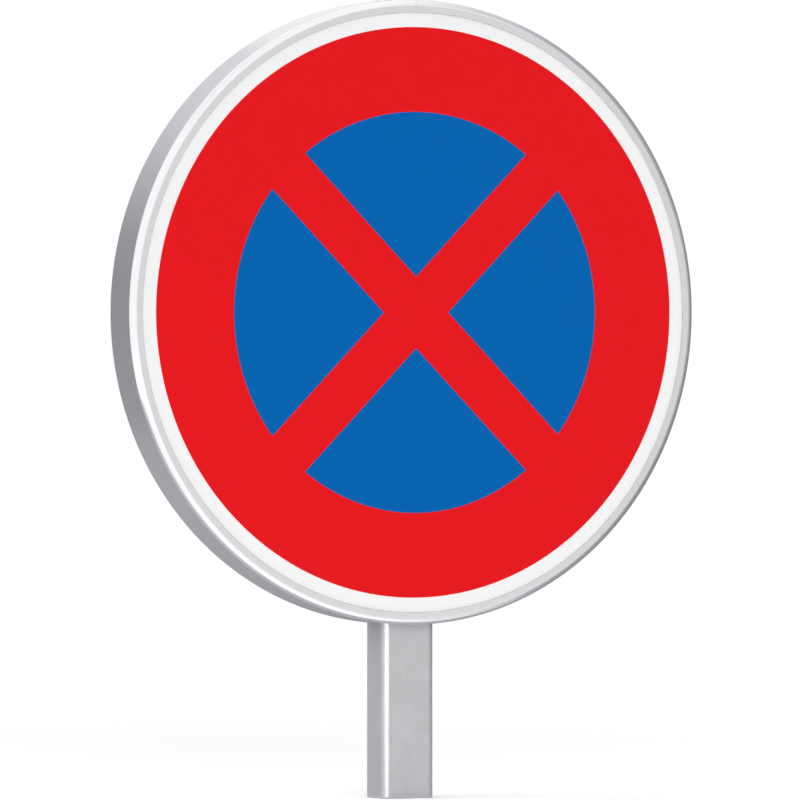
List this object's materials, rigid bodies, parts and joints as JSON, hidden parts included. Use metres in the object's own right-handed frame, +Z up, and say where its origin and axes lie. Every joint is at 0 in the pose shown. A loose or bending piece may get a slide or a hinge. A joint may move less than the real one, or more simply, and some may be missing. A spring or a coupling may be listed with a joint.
{
  "type": "parking sign",
  "caption": "Round no-stopping traffic sign: red border and diagonal cross on blue, deep grey rolled rim, open back with bolt rails, clamped to a short rectangular post.",
  "frame": {"origin": "middle of the post's foot", "axes": "+X to the right as the sign is read, +Y to the back, away from the reader, +Z up along the post"},
  "size_m": [0.65, 0.066, 0.8317],
  "materials": {
    "rim_aluminium": "satin grey",
    "sheet_aluminium": "mill",
    "white_film": "retroreflective film",
    "red_film": "retroreflective film",
    "blue_film": "retroreflective film",
    "rail_aluminium": "extruded, mill",
    "foam_tape": "matte foam",
    "galvanised_steel": "hot-dip galvanised",
    "zinc_fasteners": "zinc plated",
    "rivet_aluminium": "satin",
    "black_plastic": "moulded"
  },
  "bodies": {
    "root": {"rim_frame": "rim_aluminium", "face_sheet": "sheet_aluminium", "white_film": "white_film", "red_film": "red_film", "blue_film_top": "blue_film", "blue_film_bottom": "blue_film", "blue_film_left": "blue_film", "blue_film_right": "blue_film", "rim_splice_plate": "sheet_aluminium", "upper_rail": "rail_aluminium", "lower_rail": "rail_aluminium", "upper_rail_tape": "foam_tape", "lower_rail_tape": "foam_tape", "upper_clamp": "galvanised_steel", "lower_clamp": "galvanised_steel", "post": "galvanised_steel", "post_cap": "black_plastic", "splice_rivet_1": "rivet_aluminium", "splice_rivet_2": "rivet_aluminium", "splice_rivet_3": "rivet_aluminium", "splice_rivet_4": "rivet_aluminium", "upper_left_bolt": "zinc_fasteners", "upper_left_washer": "zinc_fasteners", "upper_left_nut": "zinc_fasteners", "upper_right_bolt": "zinc_fasteners", "upper_right_washer": "zinc_fasteners", "upper_right_nut": "zinc_fasteners", "lower_left_bolt": "zinc_fasteners", "lower_left_washer": "zinc_fasteners", "lower_left_nut": "zinc_fasteners", "lower_right_bolt": "zinc_fasteners", "lower_right_washer": "zinc_fasteners", "lower_right_nut": "zinc_fasteners"}
  },
  "joints": []
}
